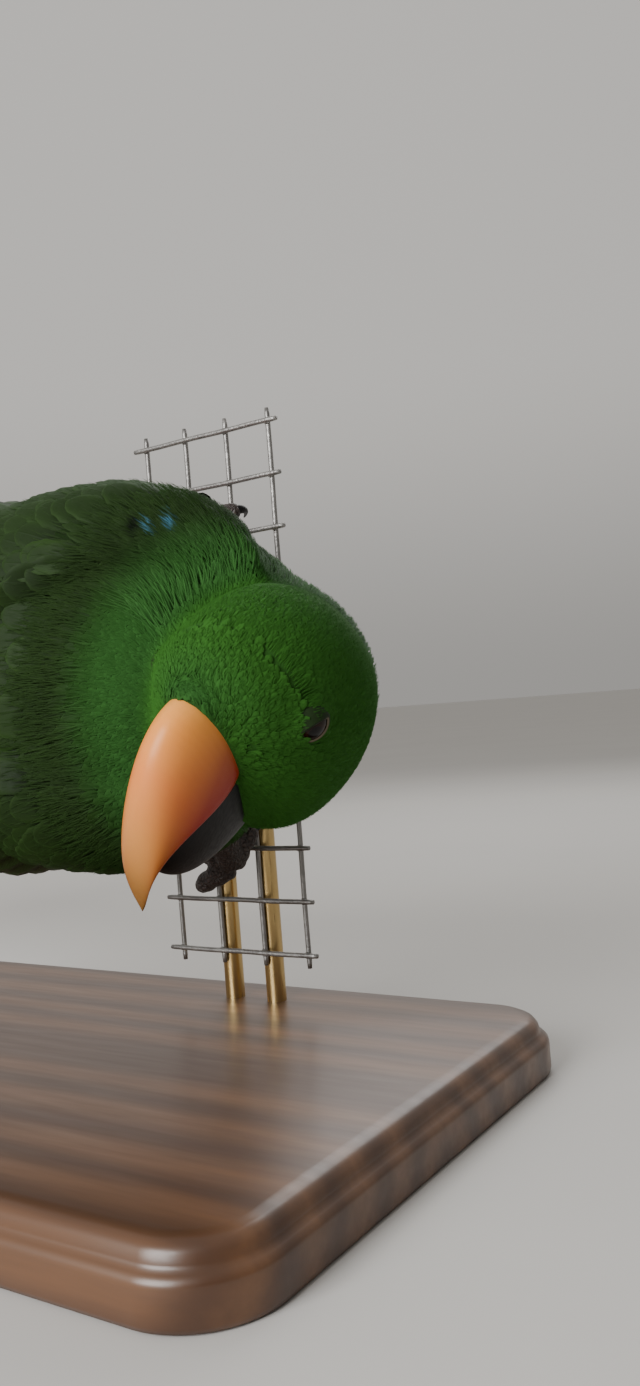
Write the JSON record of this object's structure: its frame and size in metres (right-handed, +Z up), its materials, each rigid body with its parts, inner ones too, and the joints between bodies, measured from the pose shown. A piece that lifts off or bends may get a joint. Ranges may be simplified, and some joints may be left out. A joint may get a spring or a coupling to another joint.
{
  "type": "eclectus parrot",
  "caption": "Life-size male eclectus parrot, green with an orange bill, clinging sideways to a short cut of welded wire mesh and looking back, on a plain display stand.",
  "frame": {"origin": "middle of the underside of the stand's base board", "axes": "+Z up; +X along the mesh, the way the bird's breast points; +Y from the bird towards the mesh behind it"},
  "size_m": [0.3196, 0.128, 0.1547],
  "materials": {
    "body_feathers": "soft green body feathers",
    "flight_feathers": "satin green and blue flight feathers",
    "upper_bill": "polished orange horn",
    "lower_bill": "polished black horn",
    "eye": "glossy wet eye",
    "foot_skin": "grey scaly skin",
    "claw": "dark horn",
    "wire": "dull galvanised",
    "rod_brass": "satin",
    "base_wood": "satin varnish"
  },
  "bodies": {
    "root": {"torso": "body_feathers", "neck": "body_feathers", "head": "body_feathers", "leg_left": "body_feathers", "leg_right": "body_feathers", "wing_left": "flight_feathers", "wing_right": "flight_feathers", "tail": "flight_feathers", "bill_upper": "upper_bill", "bill_lower": "lower_bill", "eye_left": "eye", "foot_left": "foot_skin", "claw_left_1": "claw", "claw_left_2": "claw", "claw_left_3": "claw", "claw_left_4": "claw", "eye_right": "eye", "foot_right": "foot_skin", "claw_right_1": "claw", "claw_right_2": "claw", "claw_right_3": "claw", "claw_right_4": "claw", "perch_mesh": "wire", "stand_base": "base_wood", "stand_rod_1": "rod_brass", "stand_clip_1_1": "rod_brass", "stand_clip_1_2": "rod_brass", "stand_rod_2": "rod_brass", "stand_clip_2_1": "rod_brass", "stand_clip_2_2": "rod_brass"}
  },
  "joints": []
}
